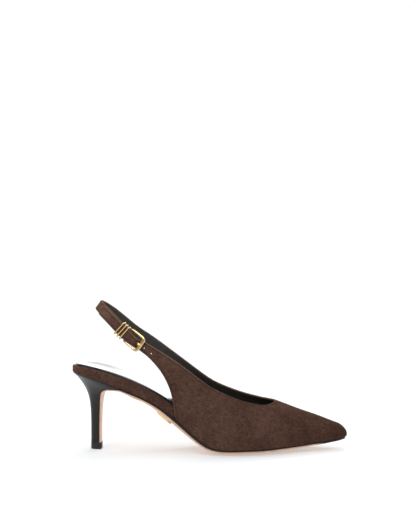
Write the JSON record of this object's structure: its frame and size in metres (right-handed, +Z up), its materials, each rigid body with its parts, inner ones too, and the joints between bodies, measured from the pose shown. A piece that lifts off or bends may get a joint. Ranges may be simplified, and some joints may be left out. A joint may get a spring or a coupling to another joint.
{
  "type": "slingback pump",
  "caption": "Pointed slingback pump for the right foot: suede upper on a slim heel, with a heel strap in a small buckle and keeper rings",
  "frame": {"origin": "middle of the heel tip, on the floor", "axes": "+X runs to the toe, +Y to the inner side of the right foot, +Z is up"},
  "size_m": [0.2518, 0.0773, 0.1368],
  "materials": {
    "suede": "dark brown suede, matte, brushed nap",
    "black_leather": "smooth black lining leather, soft gloss",
    "sole_leather": "smooth tan sole leather, with a black painted upper edge",
    "heel_cover": "near black stacked heel, polished",
    "top_piece": "black, satin",
    "gold_metal": "polished, pale gold coloured"
  },
  "bodies": {
    "root": {"outsole": "sole_leather", "footbed": "suede", "sock_lining": "black_leather", "upper": "suede", "sling_strap": "suede", "heel": "heel_cover", "heel_tip": "top_piece", "buckle_frame": "gold_metal", "buckle_prong": "gold_metal", "keeper_ring_1": "gold_metal", "keeper_ring_2": "gold_metal", "keeper_ring_3": "gold_metal", "waist_badge": "gold_metal"}
  },
  "joints": []
}
